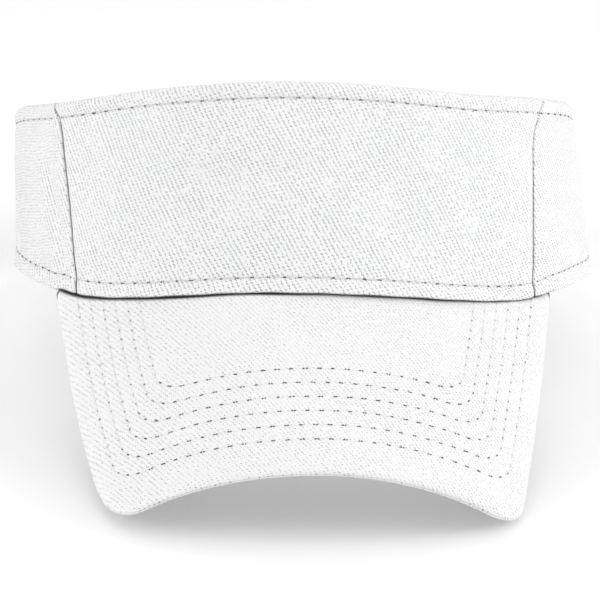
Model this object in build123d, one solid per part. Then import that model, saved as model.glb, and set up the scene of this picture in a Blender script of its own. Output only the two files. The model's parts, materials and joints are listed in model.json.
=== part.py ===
from build123d import *

import os
from math import atan, atan2, cos, degrees, radians, sin, sqrt, tan

# A cotton sun visor: a leaning crown band open at the top, a stiff curved brim sewn under
# its front, and a hook-and-loop closure at the back. Millimetres throughout.
#
# It is drawn in crown coordinates: x to the right as seen from the front, y to the back
# and w up, with the band's lower edge in the plane w = 0. Left and right are as seen from
# the front. Depths are measured horizontally inwards from the band's outer surface. The
# finished part is tipped about x, so that it stands on the brim's front corners and the
# back of the loop strap, and its frame has +Z up from that surface and -Y to the front.

# Crown band
BAND_HALF_WIDTH = 91.0       # at w = 0, and the radius of the band's round rear half
BAND_FRONT_REACH = 95.5      # front half axis of the band's elliptical front half
SIDE_LEAN = 0.074            # inward lean of the sides and back, mm for each mm of height
FRONT_LEAN = 0.22            # inward lean of the front
FRONT_HEIGHT = 62.0          # top edge above the plane w = 0, at the front centre
TOP_SLOPE = 9.8              # fall of the top edge towards the back, degrees
BASE_DROP = 0.045            # fall of the front half's lower edge towards the brim tips
TAPER_START = -10.0          # y where the arms' top edge starts to curve down to the strap
ARM_END_HEIGHT = 31.0        # height of the arms at their rear ends

# Layers of the band, as depths from and to
PANEL = (0.0, 0.6)
FILLER = (0.6, 2.0)
LINING = (2.0, 2.5)
SWEATBAND = (2.5, 3.5)
SEAM_TAPE = (2.5, 2.9)
CARE_LABEL = (3.5, 3.8)
FOREHEAD_PAD = 2.0           # thickness of the pad behind the sweatband's front centre
PAD_WIDTH = 100.0

# Side seams, on the outer surface: bottom and top point of the right-hand one
SEAM_FOOT = (69.0, -62.6, -2.5)
SEAM_HEAD = (74.9, -43.2, 52.5)
SEAM_TAPE_WIDTH = 12.0
HEM_DEPTH = 9.0              # turned-in top hem, above the seam tapes

# Heights of inner parts, as w from and to
INNER_BASE = 1.0
SWEATBAND_TOP = 31.5
PAD_HEIGHTS = (3.0, 29.5)
LABEL_HEIGHTS = (7.0, 25.0)

# Brim: part of a cone whose highest line runs forwards and down from the band's front
BRIM_SLOPE = 36.0            # degrees under the crown's base plane
BRIM_SEAM_HEIGHT = 2.8       # w of the brim's upper face at the front centre of the seam
ARCH_AT_SEAM = 105.0         # arch radius of the brim at the seam
ARCH_AT_EDGE = 82.0          # and this far forwards of the seam
ARCH_SPAN = 70.0
BRIM_LENGTH = 70.2
BRIM_TIP = (74.5, -29.3)     # outline points: half width, distance forwards of the seam
BRIM_SIDE = (67.6, 16.0)
BRIM_CORNER = (60.0, 57.5)
BRIM_CORNER_RADIUS = 12.0
BRIM_COVER = 0.6             # one layer of twill
BRIM_BOARD = 1.8
BRIM_BOARD_INSET = 1.5       # covers reach past the board by this much
BRIM_BOARD_BACK = 1.0        # board stops this far outside the band

# Closure: angles in degrees about w from the back centre, positive to the right
ARM_END = 50.0
SWEATBAND_END = 52.0
STRAP_DEPTH = (0.9, 1.7)
HOOK_DEPTH = (1.7, 2.5)
LOOP_DEPTH = (2.8, 3.6)
LOOP_STRAP_DEPTH = (3.6, 4.4)
STRAP_ROOT = 66.0
PEEL_LINE = -1.0
TAB_END = -28.0
HOOK_ANGLES = (-26.0, -4.0)
LOOP_ANGLES = (-43.5, 14.0)
LOOP_STRAP_ANGLES = (-62.0, 17.0)
STEP_ANGLES = (-49.5, -44.5)  # the loop strap steps inwards between these
RIGHT_FILLER_END = 84.0      # leaves a pocket in the right arm for the strap's root
LEFT_FILLER_END = 64.0
LABEL_ANGLES = (-84.0, -66.0)
STRAP_HEIGHTS = (2.6, 28.2)
LOOP_STRAP_HEIGHTS = (1.2, 29.2)
TAPE_HEIGHTS = (4.2, 26.6)
TAB_CORNER_RADIUS = 6.0
HOOK_CORNER_RADIUS = 3.0

# Construction space, larger than the part
LOW, HIGH, REACH = -14.0, 74.0, 400.0
CONE_AHEAD, CONE_BEHIND = 84.0, 63.0   # extent of the brim's cone from the seam


# ---- crown band -------------------------------------------------------------------------

def front_solid(depth, pad=0.0):
    """Front half of the space inside the band, `depth` in from its outer surface."""
    def level(w):
        across = BAND_HALF_WIDTH - SIDE_LEAN * w - depth
        ahead = BAND_FRONT_REACH - FRONT_LEAN * w - depth - pad
        arc = EllipticalCenterArc((0, 0), across, ahead, start_angle=180, arc_size=180)
        return Plane.XY.offset(w) * make_face(arc + Line((-across, 0), (across, 0)))
    return loft([level(LOW), level(HIGH)], ruled=True)


def rear_radius(w, depth=0.0):
    return BAND_HALF_WIDTH - SIDE_LEAN * w - depth


def rear_sector(depth, angles, heights):
    """Sector of the solid inside the band's round rear half."""
    low, high = heights
    first, last = angles
    cone = Cone(rear_radius(low, depth), rear_radius(high, depth), high - low,
                arc_size=last - first, align=(Align.NONE, Align.NONE, Align.NONE))
    return Pos(0, 0, low) * Rot(0, 0, 90 - last) * cone


def rear_strip(depths, angles, heights):
    """Strip of even thickness that follows the band's rear."""
    return rear_sector(depths[0], angles, heights) - rear_sector(depths[1], angles, heights)


def band_layer(depths, pad=0.0):
    """One layer of the band, all the way round and taller than the band."""
    outer, inner = depths
    front = front_solid(outer, pad) - front_solid(inner, pad)
    return front + rear_strip(depths, (-90, 90), (LOW, HIGH))


def top_edge(y):
    """Height of the top edge's plane."""
    front_y = FRONT_LEAN * FRONT_HEIGHT - BAND_FRONT_REACH
    return FRONT_HEIGHT - (y - front_y) * tan(radians(TOP_SLOPE))


def band_profile(base=None):
    """Side view of the band, as a block across the whole width."""
    if base is None:
        under = [(REACH, 0), (0, 0), (-REACH, -BASE_DROP * REACH)]
    else:
        under = [(REACH, base), (-REACH, base)]
    taper_start = (TAPER_START, top_edge(TAPER_START))
    arm_end = (rear_radius(0) * cos(radians(ARM_END)), ARM_END_HEIGHT)
    taper = TangentArc(taper_start, arm_end, tangent=(1, -tan(radians(TOP_SLOPE))))
    ends = Polyline(arm_end, (REACH, ARM_END_HEIGHT), *under, (-REACH, top_edge(-REACH)), taper_start)
    return extrude(Plane.YZ * make_face(taper + ends), REACH, both=True)


def level_block(low, high):
    return Pos(0, 0, (low + high) / 2) * Box(2 * REACH, 2 * REACH, high - low)


def half_space(origin, along, normal, shift=0.0):
    """Large block on the side of a plane that its normal points to."""
    plane = Plane(origin=origin, x_dir=along, z_dir=normal).offset(shift)
    return plane * Box(REACH, REACH, REACH, align=(Align.CENTER, Align.CENTER, Align.MIN))


def seam_plane():
    """Foot, line and forward-facing normal of the right side seam's plane."""
    foot, head = Vector(*SEAM_FOOT), Vector(*SEAM_HEAD)
    inwards = Vector(-SEAM_FOOT[0] / BAND_HALF_WIDTH ** 2, -SEAM_FOOT[1] / BAND_FRONT_REACH ** 2, 0)
    along = head - foot
    return foot, along, along.cross(inwards.normalized()).normalized()


def front_wedge():
    """Space between the two side seams."""
    foot, along, normal = seam_plane()
    right = half_space(foot, along, normal)
    return right & mirror(right, about=Plane.YZ)


def seam_strip_space():
    """Slab centred on the right side seam."""
    foot, along, normal = seam_plane()
    half = SEAM_TAPE_WIDTH / 2
    slab = half_space(foot, along, normal, -half) - half_space(foot, along, normal, half)
    return slab & Pos(REACH / 2, 0, 0) * Box(REACH, REACH, REACH)


def rear_wedge(angle):
    """Space at the back within an angle each side of the centre."""
    far = REACH / 2
    corners = [(0, 0), (far * tan(radians(angle)), far), (-far * tan(radians(angle)), far)]
    return extrude(make_face(Polyline(*corners, close=True)), REACH / 2, both=True)


def side_space(sign, end_angle):
    """Space of one side arm, from its seam to an angle from the back centre."""
    half = Pos(sign * REACH / 2, 0, 0) * Box(REACH, REACH, REACH)
    return half - front_wedge() - rear_wedge(end_angle)


# ---- brim -------------------------------------------------------------------------------

def brim_axes():
    """Seam centre, forward direction, upward normal, cone half angle and apex distance."""
    slope = radians(BRIM_SLOPE)
    start = Vector(0, FRONT_LEAN * BRIM_SEAM_HEIGHT - BAND_FRONT_REACH, BRIM_SEAM_HEIGHT)
    forward = Vector(0, -cos(slope), -sin(slope))
    up = Vector(0, -sin(slope), cos(slope))
    narrowing = (ARCH_AT_SEAM - ARCH_AT_EDGE) / ARCH_SPAN
    return start, forward, up, atan(narrowing), ARCH_AT_SEAM / narrowing


def brim_cone(depth):
    """Solid under the brim's upper face, `depth` below it."""
    start, forward, up, half_angle, apex = brim_axes()
    axis = forward * -cos(half_angle) - up * sin(half_angle)
    near = (apex - CONE_AHEAD) * cos(half_angle)
    far = (apex + CONE_BEHIND) * cos(half_angle)
    skipped = depth / sin(half_angle)
    cone = Cone((near - skipped) * tan(half_angle), (far - skipped) * tan(half_angle),
                far - near, align=(Align.CENTER, Align.CENTER, Align.MIN))
    return Plane(origin=start + forward * apex + axis * near, z_dir=axis) * cone


def brim_point(x, ahead, depth):
    """Point of the brim's surface `depth` under its upper face."""
    start, forward, up, half_angle, apex = brim_axes()
    back = apex - ahead - depth / tan(half_angle)
    bend = back * sin(2 * half_angle)
    root = sqrt(bend ** 2 - 4 * cos(2 * half_angle) * (cos(half_angle) * x) ** 2)
    height = (root - bend) / (2 * cos(2 * half_angle)) - depth
    return start + forward * ahead + up * height + Vector(x, 0, 0)


def brim_outline_block(inset=0.0):
    """Block with the brim's outline, square to its centre line."""
    start, _, up, _, _ = brim_axes()
    tip, side, corner = [(x, -ahead) for x, ahead in (BRIM_TIP, BRIM_SIDE, BRIM_CORNER)]
    edge = ThreePointArc(tip, side, corner)
    onwards = (edge % 1) * ((BRIM_LENGTH - BRIM_CORNER[1]) / -(edge % 1).Y)
    meeting = edge @ 1 + onwards
    right = edge + Line(edge @ 1, meeting) + Line(meeting, (0, -BRIM_LENGTH))
    left = mirror(right, about=Plane.YZ)
    face = make_face(right + left + Line(tip, (-tip[0], tip[1])))
    front_corners = [v for v in face.vertices() if v.Y < 1 - BRIM_LENGTH and abs(v.X) > 1]
    face = fillet(front_corners, BRIM_CORNER_RADIUS)
    if inset:
        face = offset(face, -inset)
    plane = Plane(origin=start, x_dir=(1, 0, 0), z_dir=up)
    return extrude(plane * face, REACH / 4, both=True)


def brim_layer(depths, inset=0.0, back_depth=FILLER[1]):
    """One layer of the brim; its rear edge follows the band at back_depth."""
    sheet = brim_cone(depths[0]) - brim_cone(depths[1])
    return (sheet & brim_outline_block(inset)) - front_solid(back_depth)


def brim_bed():
    """Space that the band's outer layers give up where they stand on the brim."""
    start, forward, _, _, _ = brim_axes()
    return brim_cone(0) & half_space(start + forward * BRIM_TIP[1], (1, 0, 0), forward)


# ---- assembly ---------------------------------------------------------------------------

def crown_nodes():
    wedge, profile, bed = front_wedge(), band_profile(), brim_bed()
    inner_profile = band_profile(base=INNER_BASE)
    nodes = {}

    for name, depths in (("front_panel", PANEL), ("front_buckram", FILLER)):
        nodes[name] = (front_solid(depths[0]) - front_solid(depths[1])) & wedge & profile
        nodes[name] -= bed
    nodes["front_lining"] = (front_solid(LINING[0]) - front_solid(LINING[1])) & wedge & inner_profile

    panel, filler, lining = band_layer(PANEL), band_layer(FILLER), band_layer(LINING)
    sides = (("left", -1, LEFT_FILLER_END), ("right", 1, RIGHT_FILLER_END))
    for side, sign, filler_end in sides:
        arm = side_space(sign, ARM_END)
        nodes[f"side_panel_{side}"] = (panel & arm & profile) - bed
        nodes[f"side_interlining_{side}"] = (filler & side_space(sign, filler_end) & profile) - bed
        nodes[f"side_lining_{side}"] = lining & arm & inner_profile

    below_hem = Pos(0, 0, -HEM_DEPTH) * inner_profile & level_block(INNER_BASE, HIGH)
    tape = (front_solid(SEAM_TAPE[0]) - front_solid(SEAM_TAPE[1])) & seam_strip_space() & below_hem
    nodes["seam_tape_right"] = tape
    nodes["seam_tape_left"] = mirror(tape, about=Plane.YZ)

    sweatband = band_layer(SWEATBAND, FOREHEAD_PAD) & level_block(INNER_BASE, SWEATBAND_TOP)
    nodes["sweatband"] = sweatband - rear_wedge(SWEATBAND_END)
    pad = front_solid(SWEATBAND[0]) - front_solid(SWEATBAND[0], FOREHEAD_PAD)
    pad_end = Pos(0, -REACH / 2, 0) * Box(PAD_WIDTH, REACH, REACH)
    nodes["forehead_pad"] = pad & level_block(*PAD_HEIGHTS) & pad_end
    nodes["care_label"] = rear_strip(CARE_LABEL, LABEL_ANGLES, LABEL_HEIGHTS)
    return nodes


def brim_nodes():
    board_top, board_bottom = BRIM_COVER, BRIM_COVER + BRIM_BOARD
    underside = board_bottom + BRIM_COVER
    board = brim_layer((board_top, board_bottom), BRIM_BOARD_INSET, -BRIM_BOARD_BACK)
    return {
        "brim_top_cover": brim_layer((0, board_top)),
        "brim_board": board,
        "brim_under_cover": brim_layer((board_top, underside)) - board,
    }


def radial_section(angle, depths, heights):
    """Cross-section face of a strap at an angle from the back centre."""
    turn = radians(angle)
    corners = [(depths[0], heights[0]), (depths[1], heights[0]),
               (depths[1], heights[1]), (depths[0], heights[1])]
    points = [(rear_radius(w, d) * sin(turn), rear_radius(w, d) * cos(turn), w) for d, w in corners]
    return Face(Wire.make_polygon(points))


def round_end(strip, angle, radius):
    """Strip with the corners at its end at an angle from the back centre rounded.

    Those corners are the short edges, no longer than the strip is thick, nearest that end.
    """
    thickest, half_strip = 2, 35
    turn = radians(angle)
    end = Vector(sin(turn), cos(turn), 0) * BAND_HALF_WIDTH
    near = [e for e in strip.edges()
            if e.length < thickest and (e.center() - end).length < half_strip]
    return fillet(near, radius)


def closure_nodes():
    root_end, strap_end = LOOP_STRAP_ANGLES
    step_start, step_end = STEP_ANGLES
    heights = LOOP_STRAP_HEIGHTS
    step = loft([radial_section(step_start, STRAP_DEPTH, heights),
                 radial_section(step_end, LOOP_STRAP_DEPTH, heights)], ruled=True)
    loop_strap = (rear_strip(STRAP_DEPTH, (root_end, step_start), heights) + step
                  + rear_strip(LOOP_STRAP_DEPTH, (step_end, strap_end), heights))
    tab = rear_strip(STRAP_DEPTH, (TAB_END, PEEL_LINE), STRAP_HEIGHTS)
    hook = rear_strip(HOOK_DEPTH, HOOK_ANGLES, TAPE_HEIGHTS)
    return {
        "loop_strap": round_end(loop_strap, strap_end, TAB_CORNER_RADIUS),
        "loop_tape": rear_strip(LOOP_DEPTH, LOOP_ANGLES, TAPE_HEIGHTS),
        "closure_strap": rear_strip(STRAP_DEPTH, (PEEL_LINE, STRAP_ROOT), STRAP_HEIGHTS),
        "strap_tab": round_end(tab, TAB_END, TAB_CORNER_RADIUS),
        "hook_tape": round_end(hook, HOOK_ANGLES[0], HOOK_CORNER_RADIUS),
    }


def standing_tilt():
    """Angle between the crown's base plane and the surface the visor stands on."""
    underside = 2 * BRIM_COVER + BRIM_BOARD
    heel_w = LOOP_STRAP_HEIGHTS[0]
    heel_y = rear_radius(heel_w, LOOP_STRAP_DEPTH[0])
    steps = [i / 20 for i in range(21)]
    toes = []
    for t in steps:
        turn = radians(90 * t)
        x = BRIM_CORNER[0] - BRIM_CORNER_RADIUS * (1 - cos(turn))
        ahead = BRIM_LENGTH - BRIM_CORNER_RADIUS * (1 - sin(turn))
        toes.append(brim_point(x, ahead, underside))
    return max(degrees(atan2(heel_w - p.Z, heel_y - p.Y)) for p in toes)


nodes = {**crown_nodes(), **brim_nodes(), **closure_nodes()}

tilt = Rot(-standing_tilt(), 0, 0)
tipped = Compound([solid for shape in nodes.values() for solid in (tilt * shape).solids()])
box = tipped.bounding_box()
place = Pos(-box.center().X, -box.center().Y, -box.min.Z) * tilt

os.makedirs("parts", exist_ok=True)
for name, shape in nodes.items():
    export_step(place * shape, f"parts/{name}.step")

origin = place * Pos(0, 0, 0)
peel_radius = rear_radius(STRAP_HEIGHTS[1], STRAP_DEPTH[0])
peel_turn = radians(PEEL_LINE)
peel = place * Pos(peel_radius * sin(peel_turn), peel_radius * cos(peel_turn), STRAP_HEIGHTS[1])
crown_axis = Vector(0, 0, 1).rotate(Axis.X, -standing_tilt())
print("tilt of the crown's base plane:", round(standing_tilt(), 4))
print("crown origin:", tuple(round(v, 4) for v in origin.position))
print("crown axis:", tuple(round(v, 6) for v in crown_axis))
print("peel line, at the strap's upper edge:", tuple(round(v, 4) for v in peel.position))
print("overall size:", tuple(round(v, 2) for v in box.size))
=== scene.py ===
import json
from functools import partial

import bmesh
import bpy
import numpy as np
from mathutils import Matrix, Vector


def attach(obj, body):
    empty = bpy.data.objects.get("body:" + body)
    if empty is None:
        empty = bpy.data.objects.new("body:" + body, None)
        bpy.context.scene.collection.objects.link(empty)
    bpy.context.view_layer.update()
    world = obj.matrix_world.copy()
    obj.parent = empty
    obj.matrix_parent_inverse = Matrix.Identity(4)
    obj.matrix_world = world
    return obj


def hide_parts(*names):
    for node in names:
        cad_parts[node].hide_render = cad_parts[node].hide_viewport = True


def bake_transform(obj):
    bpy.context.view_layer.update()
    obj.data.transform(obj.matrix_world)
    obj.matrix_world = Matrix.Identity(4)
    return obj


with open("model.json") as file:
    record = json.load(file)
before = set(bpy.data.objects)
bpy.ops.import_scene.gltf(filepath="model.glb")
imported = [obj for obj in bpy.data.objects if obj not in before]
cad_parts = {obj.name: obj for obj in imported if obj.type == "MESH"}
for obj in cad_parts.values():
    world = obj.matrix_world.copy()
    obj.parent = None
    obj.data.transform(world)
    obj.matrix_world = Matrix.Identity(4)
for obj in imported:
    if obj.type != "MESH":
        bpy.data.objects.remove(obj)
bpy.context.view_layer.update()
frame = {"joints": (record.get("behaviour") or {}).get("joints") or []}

# The cloth of the visor is worked out in crown coordinates, in millimetres: x to the right,
# y to the back, w up from the band's lower edge. The size joint's axis is the crown's axis.
# Angles are in degrees round the band, 0 at the front centre and positive to the right.
# A depth is measured inwards from the band's outer surface, or down from the brim's top.

size_joint = next(j for j in frame["joints"] if j["name"] == "size_adjust")
CROWN_ORIGIN = np.array(size_joint["pos_m"])
CROWN_UP = np.array(size_joint["axis"]) / np.linalg.norm(size_joint["axis"])
CROWN_ACROSS = np.array([1.0, 0.0, 0.0])
CROWN_BACK = np.cross(CROWN_UP, CROWN_ACROSS)
CROWN_AXES = np.array([CROWN_ACROSS, CROWN_BACK, CROWN_UP])
MM = 0.001


def to_row(points):
    """Crown coordinates in millimetres to the row frame in metres."""
    return CROWN_ORIGIN + np.asarray(points) * MM @ CROWN_AXES


# ---- shape of the band and the brim -------------------------------------------------------

HALF_WIDTH, FRONT_REACH = 91.0, 95.5
SIDE_LEAN, FRONT_LEAN = 0.074, 0.22
SKEW = 0.043                        # the worn band leans a little to the left
FRONT_HEIGHT, TOP_SLOPE = 62.0, np.tan(np.radians(9.8))
TAPER_START, ARM_END_HEIGHT, ARM_END = -10.0, 31.0, 130.0
BASE_DROP = 0.045
CLOTH = 0.6                         # thickness of one layer of twill
BAND_THICKNESS = 2.5                # outside to the back of the lining

BRIM_SLOPE, BRIM_SEAM_HEIGHT = np.radians(36.0), 2.8
ARCH_AT_SEAM, ARCH_AT_EDGE, ARCH_SPAN = 105.0, 82.0, 70.0     # arch radii, this far apart
BRIM_LENGTH, BRIM_CORNER_RADIUS = 70.2, 12.0
BRIM_TIP, BRIM_SIDE, BRIM_CORNER = (74.5, -29.3), (67.6, 16.0), (60.0, 57.5)
BRIM_THICKNESS = 3.0

STRAP_DEPTH, LOOP_STRAP_DEPTH = (0.9, 1.7), (3.6, 4.4)
STRAP_HEIGHTS, LOOP_STRAP_HEIGHTS = (2.6, 28.2), (1.2, 29.2)
TAPE_HEIGHTS = (4.2, 26.6)

BAND_MIDDLE = 25.0                  # height at which lengths round the band are taken
CREST_GUESS = 45.0                  # where the searches for the top edge start
MEAN_RADIUS = 93.0                  # of the band's front
FRONT_ARC, SIDE_ARC, REAR_ARC = 1.62, 1.57, 1.55    # millimetres to a degree round the band
BRIM_END = 52, 58                   # angles between which the brim's seam ends

# Slow offsets of the worn cloth by the angle: size, centre and width of each bump. The top edge
# stands up in the middle and at the right, and sags near the side seams.
TOP_SWAY = (0.85, -3, 17), (-2.0, -53, 20), (-1.1, 37, 14), (1.3, 78, 15)
ARM_SWAY = (1.1, -76, 15), (-0.9, 84, 14)
GAP_SWAY = (-0.16, -40, 16), (0.38, 22, 20)
OVERHANG_SWAY = (0.75, 18, 22), (-0.25, -35, 15)
SEAM_SAG = 0.6                      # the worn brim's seam dips right of its centre


def smooth(value, low, high):
    t = np.clip((value - low) / (high - low), 0, 1)
    return t * t * (3 - 2 * t)


def bump_at(value, centre, width):
    return np.exp(-((value - centre) / width) ** 2)


def within(angle, near, far):
    """1 round the front, fading to 0 between two angles on both sides."""
    return 1 - smooth(np.abs(angle), near, far)


def bumps(value, rows, start=0.0):
    """A start value with a row of bumps added to it."""
    for size, centre, width in rows:
        start = start + size * bump_at(value, centre, width)
    return start


def unit(vectors):
    return vectors / np.linalg.norm(vectors, axis=-1, keepdims=True)


def path_length(points):
    """Length along a path up to each of its points."""
    return np.concatenate([[0], np.cumsum(np.linalg.norm(np.diff(points, axis=0), axis=1))])


def bisect(is_beyond, shape, low, high):
    """Close values just below and just above where a test turns true, between two limits."""
    low, high = np.full(shape, low), np.full(shape, high)
    for _ in range(30):
        middle = (low + high) / 2
        beyond = is_beyond(middle)
        high, low = np.where(beyond, middle, high), np.where(beyond, low, middle)
    return low, high


def band_point(angle, w, depth):
    """Point of the band at an angle and height, `depth` in from the smooth outer surface."""
    turn = np.radians(angle)
    across = HALF_WIDTH - SIDE_LEAN * w - depth
    ahead = np.where(np.abs(angle) < 90, FRONT_REACH - FRONT_LEAN * w - depth, across)
    x, y = across * np.sin(turn), -ahead * np.cos(turn)
    x = x - SKEW * (w - 2) * (1 - smooth(y, -2, 22))
    return np.stack(np.broadcast_arrays(x, y, w), -1)


def rear_point(back_angle, w, depth):
    """Point on the band's round rear, by the angle from the back centre, positive to the right."""
    turn = np.radians(back_angle)
    radius = HALF_WIDTH - SIDE_LEAN * w - depth
    return np.stack(np.broadcast_arrays(radius * np.sin(turn), radius * np.cos(turn), w), -1)


def top_height(angle):
    """Height of the band's top edge."""
    front_y = FRONT_LEAN * FRONT_HEIGHT - FRONT_REACH
    end_y = -HALF_WIDTH * np.cos(np.radians(ARM_END))
    start = np.array([TAPER_START, FRONT_HEIGHT - (TAPER_START - front_y) * TOP_SLOPE])
    chord = np.array([end_y, ARM_END_HEIGHT]) - start
    down = -np.array([TOP_SLOPE, 1.0]) / np.hypot(1, TOP_SLOPE)
    radius = chord @ chord / (2 * chord @ down)
    centre = start + down * radius
    w = np.full(np.shape(angle), CREST_GUESS)
    for _ in range(12):
        y = band_point(angle, w, 0)[..., 1]
        plane = FRONT_HEIGHT - (y - front_y) * TOP_SLOPE
        arc = centre[1] + np.sqrt(np.maximum(radius ** 2 - (y - centre[0]) ** 2, 0))
        w = np.where(y < TAPER_START, plane, arc)
    return bumps(angle, TOP_SWAY, w)


def brim_axes():
    start = np.array([0, FRONT_LEAN * BRIM_SEAM_HEIGHT - FRONT_REACH, BRIM_SEAM_HEIGHT])
    forward = np.array([0, -np.cos(BRIM_SLOPE), -np.sin(BRIM_SLOPE)])
    up = np.array([0, -np.sin(BRIM_SLOPE), np.cos(BRIM_SLOPE)])
    narrowing = (ARCH_AT_SEAM - ARCH_AT_EDGE) / ARCH_SPAN
    return start, forward, up, np.arctan(narrowing), ARCH_AT_SEAM / narrowing


def brim_height(x, ahead, depth):
    """Height of the brim's cone over its centre line's plane."""
    _, _, _, half, apex = brim_axes()
    back = apex - ahead - depth / np.tan(half)
    bend = back * np.sin(2 * half)
    root = np.sqrt(np.maximum(bend ** 2 - 4 * np.cos(2 * half) * (np.cos(half) * x) ** 2, 0))
    sag = SEAM_SAG * bump_at(x, 22, 55) * (1 - smooth(ahead, 0, 26))
    return (root - bend) / (2 * np.cos(2 * half)) - depth - sag


def brim_point(x, ahead, depth):
    """Point of the worn brim, which is set back a little at its left front corner."""
    start, forward, up, _, _ = brim_axes()
    x, ahead, depth = np.broadcast_arrays(x, ahead, depth)
    leftwards, onwards = smooth(-x, 0, 62), smooth(ahead, 0, 66)
    corner = smooth(-x, 46, 60) * smooth(ahead, 50, 68)
    ahead = ahead - 1.1 * leftwards * onwards - 1.5 * corner
    x = x - 0.7 * leftwards * bump_at(ahead, 22, 30) + 1.1 * corner
    height = brim_height(x, ahead, depth)
    side = np.array([1.0, 0, 0])
    return start + x[..., None] * side + ahead[..., None] * forward + height[..., None] * up


def meeting_height(angle, band_depth, brim_depth):
    """Height where a surface inside the band meets a surface inside the brim."""
    start, forward, up, _, _ = brim_axes()

    def over_brim(w):
        offset = band_point(angle, w, band_depth) - start
        return offset @ up - brim_height(offset[..., 0], offset @ forward, brim_depth) > 0
    return bisect(over_brim, np.shape(angle), -30.0, 30.0)[0]


def bottom_height(angle):
    """Height of the band's lower edge: on the brim at the front, then along the arms."""
    y = band_point(angle, 0.0, 0)[..., 1]
    arm = bumps(angle, ARM_SWAY, np.where(y < 0, BASE_DROP * y, 0.0))
    on_brim = within(angle, 52.5, 56.5)
    return on_brim * meeting_height(angle, 0, 0) + (1 - on_brim) * arm


TABLE_ANGLES = np.linspace(-180, 180, 1441)
TABLE_BOTTOM = bottom_height(TABLE_ANGLES)
TABLE_TOP = top_height(TABLE_ANGLES)
TABLE_UNDER = meeting_height(TABLE_ANGLES, BAND_THICKNESS, BRIM_THICKNESS)
TABLE_LENGTH = path_length(band_point(TABLE_ANGLES, BAND_MIDDLE, 0))
TABLE_LENGTH -= TABLE_LENGTH[len(TABLE_LENGTH) // 2]


def bottom(angle):
    return np.interp(angle, TABLE_ANGLES, TABLE_BOTTOM)


def top(angle):
    return np.interp(angle, TABLE_ANGLES, TABLE_TOP)


def along_band(angle):
    """Length round the band from the front centre."""
    return np.interp(angle, TABLE_ANGLES, TABLE_LENGTH)


# Side seams, left (-1) and right (1): angle at the foot, lean, hook at the top and its start
SIDE_SEAMS = {-1: (49.1, 0.11, 3.0, 44), 1: (49.0, 0.13, 5.0, 40)}


def seam_angle(side, w):
    """Angle of a side seam at a height."""
    foot, lean, hook, hook_start = SIDE_SEAMS[side]
    return side * (foot + lean * w + hook * smooth(w, hook_start, 56) ** 1.5)


# ---- meshes -------------------------------------------------------------------------------

def add_object(name, data):
    made = bpy.data.objects.new(name, data)
    bpy.context.scene.collection.objects.link(made)
    return made


def make_piece(name, vertices, faces, material, body, slot, uv=None, smooth_angle=50, shade=None):
    """A mesh object from crown coordinates, closed and facing outwards, riding on a body."""
    mesh = bpy.data.meshes.new(name)
    mesh.from_pydata(to_row(vertices).tolist(), [], faces)
    mesh.validate()
    corners = np.zeros(len(mesh.loops), np.int64)
    mesh.loops.foreach_get("vertex_index", corners)
    if uv is not None:
        layer = mesh.uv_layers.new(name="UVMap")
        layer.data.foreach_set("uv", np.asarray(uv, np.float32)[corners].ravel())
    # Painted shade per vertex, which the cloth materials mix in as a near-black colour.
    if shade is not None:
        layer = mesh.attributes.new("shade", "FLOAT", "POINT")
        layer.data.foreach_set("value", np.asarray(shade, np.float32))
    work = bmesh.new()
    work.from_mesh(mesh)
    if work.calc_volume(signed=True) < 0:
        bmesh.ops.reverse_faces(work, faces=work.faces)
    work.to_mesh(mesh)
    work.free()
    mesh.polygons.foreach_set("use_smooth", [True] * len(mesh.polygons))
    mesh.set_sharp_from_angle(angle=np.radians(smooth_angle))
    piece = add_object(name, mesh)
    mesh.materials.append(material)
    if body:
        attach(piece, body)
    return piece


def grid_faces(count_a, count_b, offset=0, flip=False):
    a, b = np.meshgrid(np.arange(count_a - 1), np.arange(count_b - 1), indexing="ij")
    first = offset + a * count_b + b
    quads = np.stack([first, first + count_b, first + count_b + 1, first + 1], -1).reshape(-1, 4)
    return quads[:, ::-1] if flip else quads


def close_shell(outer, inner, faces):
    """Vertices and faces of a thin closed body between two copies of an open mesh."""
    faces = np.asarray(faces)
    count = len(outer)
    edges = np.concatenate([faces[:, [k, (k + 1) % 4]] for k in range(4)])
    keys = edges[:, 0] * count + edges[:, 1]
    open_edges = edges[~np.isin(edges[:, 1] * count + edges[:, 0], keys)]
    a, b = open_edges.T
    rim = np.stack([b, a, a + count, b + count], -1)
    everything = np.concatenate([faces, faces[:, ::-1] + count, rim])
    return np.concatenate([outer, inner]), everything.tolist()


def closed_sheet(outer, inner, uv):
    """Vertices, faces and uv of a thin closed body between two grids of the same size."""
    rows, columns = outer.shape[:2]
    vertices, faces = close_shell(outer.reshape(-1, 3), inner.reshape(-1, 3), grid_faces(rows, columns))
    return vertices, faces, np.concatenate([uv.reshape(-1, 2)] * 2)


def spaced(stops, step, fine=()):
    """Values from the first to the last stop, about `step` apart and finer near some places."""
    values = [np.linspace(a, b, max(2, int(np.ceil((b - a) / step)) + 1))
              for a, b in zip(stops, stops[1:])]
    for centre, reach, fine_step in fine:
        values.append(np.arange(centre - reach, centre + reach + fine_step / 2, fine_step))
    merged = np.unique(np.round(np.clip(np.concatenate(values), stops[0], stops[-1]), 4))
    least = 0.6 * min([step] + [f[2] for f in fine])
    kept = [merged[0]]
    for value in merged[1:]:
        if value - kept[-1] > least:
            kept.append(value)
    kept[-1] = stops[-1]
    return np.array(kept)


def edge_spaced(step, reach, fine_step, length=1.0):
    """Shares of a length, about `step` apart and finer within `reach` of both ends."""
    ends = [(end, reach / length, fine_step / length) for end in (0, 1)]
    return spaced((0, 1), step / length, ends)


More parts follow.
